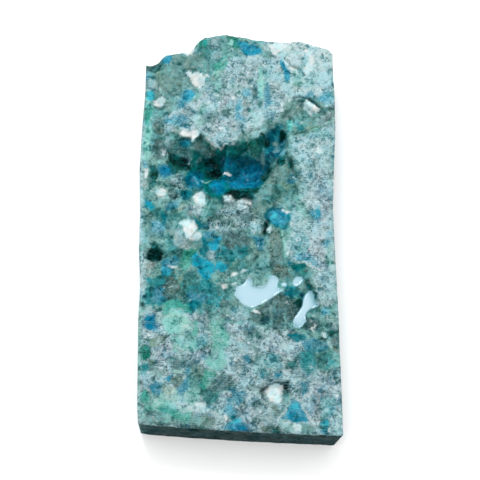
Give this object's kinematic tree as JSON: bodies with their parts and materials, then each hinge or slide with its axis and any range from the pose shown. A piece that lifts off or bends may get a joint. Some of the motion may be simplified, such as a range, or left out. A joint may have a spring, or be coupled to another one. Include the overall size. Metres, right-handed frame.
{
  "type": "chrysocolla specimen",
  "caption": "Long, flat slab of blue-green chrysocolla with quartz and malachite, sawn flat behind, with rough open hollows in its show face.",
  "frame": {"origin": "under the middle of the slab's box, on the sawn back", "axes": "+Z out of the show face, +Y along the slab towards its broken end, +X across it to the right"},
  "size_m": [0.051, 0.109, 0.012],
  "materials": {
    "chrysocolla": "mottled blue-green stone, part sawn and matt, part rough and sparkling, with small glassy pools"
  },
  "bodies": {
    "root": {"chrysocolla_slab": "chrysocolla"}
  },
  "joints": []
}
